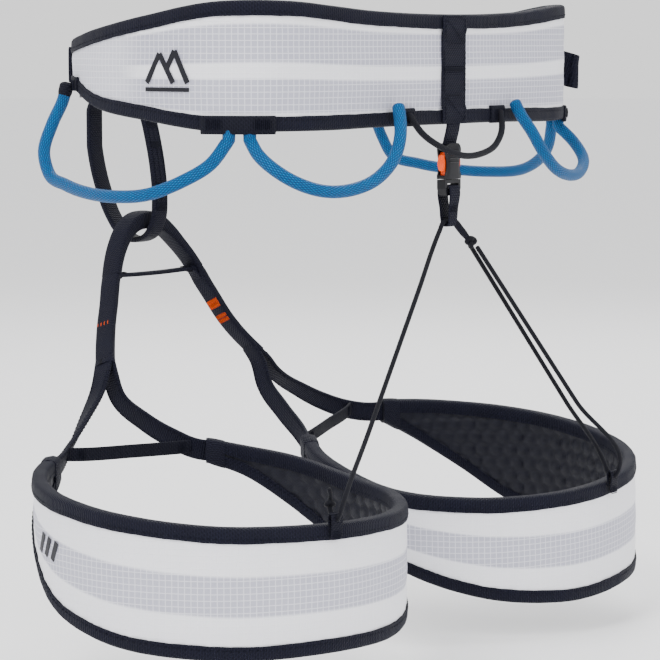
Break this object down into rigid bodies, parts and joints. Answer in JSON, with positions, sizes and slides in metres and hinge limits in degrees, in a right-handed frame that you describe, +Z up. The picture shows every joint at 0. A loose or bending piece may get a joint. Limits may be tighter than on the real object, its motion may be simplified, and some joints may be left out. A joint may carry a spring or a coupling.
{
  "type": "climbing harness",
  "caption": "Padded climbing harness: waist belt with gear loops, haul loop and belay loop, and two leg loops hung from a tie-in bridge and elastic risers.",
  "frame": {"origin": "centre of the waist opening, at mid-height of the belt", "axes": "+Z up as worn, -Y to the wearer's front, +X to the wearer's left"},
  "size_m": [0.4366, 0.311, 0.3432],
  "materials": {
    "white_ripstop": "light ripstop weave with a fine raised grid",
    "black_webbing": "ribbed blue-black polyamide tape",
    "black_mesh": "black spacer mesh over closed-cell foam",
    "white_webbing": "white load-bearing webbing",
    "blue_sheath": "blue braided sheath over a plastic tube",
    "black_plastic": "satin moulded black plastic",
    "orange_plastic": "smooth orange plastic",
    "black_metal": "gloss black coated aluminium"
  },
  "bodies": {
    "waist": {"back_strap": "black_webbing", "bridge_arch": "black_webbing", "bridge_crossbar": "black_webbing", "buckle_hanger": "black_webbing", "buckle_socket": "black_plastic", "riser_cord_upper": "black_webbing", "riser_strand_inner": "black_webbing", "riser_strand_outer": "black_webbing", "tail_keeper": "black_webbing", "tie_in_loop": "black_webbing", "waist_binding_bottom": "black_webbing", "waist_binding_top": "black_webbing", "waist_buckle_anchor": "black_webbing", "waist_buckle_frame": "black_metal", "waist_foam": "black_mesh", "waist_shell": "white_ripstop", "waist_strap": "black_webbing", "waist_webbing_bottom": "white_webbing", "waist_webbing_middle": "white_webbing", "waist_webbing_top": "white_webbing"},
    "belay_loop": {"belay_loop": "black_webbing"},
    "leg_left": {"bridge_stem_left": "black_webbing", "leg_left_binding_bottom": "black_webbing", "leg_left_binding_top": "black_webbing", "leg_left_elastic": "black_webbing", "leg_left_foam": "black_mesh", "leg_left_inner_strap": "black_webbing", "leg_left_outer_strap": "black_webbing", "leg_left_shell": "white_ripstop", "leg_left_webbing_bottom": "white_webbing", "leg_left_webbing_top": "white_webbing", "riser_cord_left": "black_webbing", "riser_tab_left": "black_webbing"},
    "leg_right": {"bridge_stem_right": "black_webbing", "leg_right_binding_bottom": "black_webbing", "leg_right_binding_top": "black_webbing", "leg_right_elastic": "black_webbing", "leg_right_foam": "black_mesh", "leg_right_inner_strap": "black_webbing", "leg_right_outer_strap": "black_webbing", "leg_right_shell": "white_ripstop", "leg_right_webbing_bottom": "white_webbing", "leg_right_webbing_top": "white_webbing", "riser_cord_right": "black_webbing", "riser_tab_right": "black_webbing"},
    "buckle_male": {"buckle_plug": "black_plastic", "plug_webbing": "black_webbing", "riser_knot": "black_webbing"},
    "gear_loop_front_left": {"gear_loop_front_left": "blue_sheath"},
    "gear_loop_front_right": {"gear_loop_front_right": "blue_sheath"},
    "gear_loop_rear_left": {"gear_loop_rear_left": "blue_sheath"},
    "gear_loop_rear_right": {"gear_loop_rear_right": "blue_sheath"},
    "haul_loop": {"haul_loop": "black_webbing"},
    "prong_left": {"release_prong_left": "orange_plastic"},
    "prong_right": {"release_prong_right": "orange_plastic"},
    "waist_slider": {"waist_buckle_slider": "black_metal"}
  },
  "joints": [
    {"name": "belay_loop_swing", "type": "hinge", "parent": "waist", "child": "belay_loop", "pos_m": [0, -0.1747, -0.02], "axis": [1, 0, 0], "range_deg": [-0.5, 3.5]},
    {"name": "gear_loop_front_left_swing", "type": "hinge", "parent": "waist", "child": "gear_loop_front_left", "pos_m": [0.14265, -0.03275, -0.0231], "axis": [-0.1107, -0.9735, 0.2], "range_deg": [-5, 50], "stiffness_Nm_per_rad": 0.06, "springref_deg": 0.32},
    {"name": "gear_loop_front_right_swing", "type": "hinge", "parent": "waist", "child": "gear_loop_front_right", "pos_m": [-0.14265, -0.03275, -0.0231], "axis": [-0.1107, 0.9735, -0.2], "range_deg": [-5, 50], "stiffness_Nm_per_rad": 0.06, "springref_deg": 0.32},
    {"name": "gear_loop_rear_left_swing", "type": "hinge", "parent": "waist", "child": "gear_loop_rear_left", "pos_m": [0.0993, 0.05455, -0.02835], "axis": [0.9363, -0.3096, -0.1659], "range_deg": [-5, 50], "stiffness_Nm_per_rad": 0.06, "springref_deg": 0.18},
    {"name": "gear_loop_rear_right_swing", "type": "hinge", "parent": "waist", "child": "gear_loop_rear_right", "pos_m": [-0.0993, 0.05455, -0.02835], "axis": [0.9363, 0.3096, 0.1659], "range_deg": [-5, 50], "stiffness_Nm_per_rad": 0.06, "springref_deg": 0.18},
    {"name": "haul_loop_swing", "type": "hinge", "parent": "waist", "child": "haul_loop", "pos_m": [0, 0.0676, -0.025], "axis": [1, 0, 0], "range_deg": [-8, 70], "stiffness_Nm_per_rad": 0.01, "springref_deg": 0.1},
    {"name": "waist_slider_tilt", "type": "hinge", "parent": "waist", "child": "waist_slider", "pos_m": [-0.10815, -0.13165, 0.001], "axis": [0, 0, 1], "range_deg": [0, 25]},
    {"name": "rear_buckle_slide", "type": "slide", "parent": "waist", "child": "buckle_male", "axis": [0, 0, -1], "range_m": [0, 0.024], "deforming": ["riser_cord_upper", "riser_strand_inner", "riser_strand_outer", "release_prong_left", "release_prong_right"]},
    {"name": "release_prong_left_press", "type": "slide", "parent": "buckle_male", "child": "prong_left", "axis": [-1, 0, 0], "range_m": [0, 0.0014], "stiffness_N_per_m": 1500, "springref_m": -0.0004},
    {"name": "release_prong_right_press", "type": "slide", "parent": "buckle_male", "child": "prong_right", "axis": [1, 0, 0], "range_m": [0, 0.0014], "stiffness_N_per_m": 1500, "springref_m": -0.0004},
    {"name": "leg_left_swing", "type": "hinge", "parent": "waist", "child": "leg_left", "pos_m": [0, -0.154, -0.1235], "axis": [1, 0, 0], "range_deg": [-20, 14], "stiffness_Nm_per_rad": 0.8, "springref_deg": 5.84, "deforming": ["bridge_stem_left", "riser_cord_left"]},
    {"name": "leg_right_swing", "type": "hinge", "parent": "waist", "child": "leg_right", "pos_m": [0, -0.154, -0.1235], "axis": [1, 0, 0], "range_deg": [-20, 14], "stiffness_Nm_per_rad": 0.8, "springref_deg": 5.84, "deforming": ["bridge_stem_right", "riser_cord_right"]}
  ]
}
